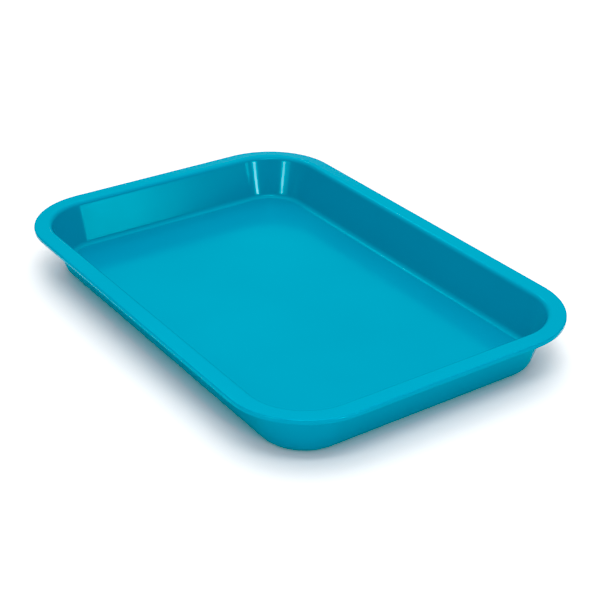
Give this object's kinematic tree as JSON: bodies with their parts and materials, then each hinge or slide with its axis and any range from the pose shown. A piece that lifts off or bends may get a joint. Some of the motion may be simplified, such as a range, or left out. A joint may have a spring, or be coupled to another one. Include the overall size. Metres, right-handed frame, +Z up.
{
  "type": "mud pan",
  "caption": "Shallow rectangular gloss plastic mud pan with sloping walls, a flat flange rim and large rounded corners.",
  "frame": {"origin": "centre of the resting face under the foot ring", "axes": "+X along the length, +Y along the width, +Z up out of the opening"},
  "size_m": [0.35, 0.24, 0.0358],
  "materials": {
    "turquoise_plastic": "gloss"
  },
  "bodies": {
    "root": {"tray": "turquoise_plastic"}
  },
  "joints": []
}
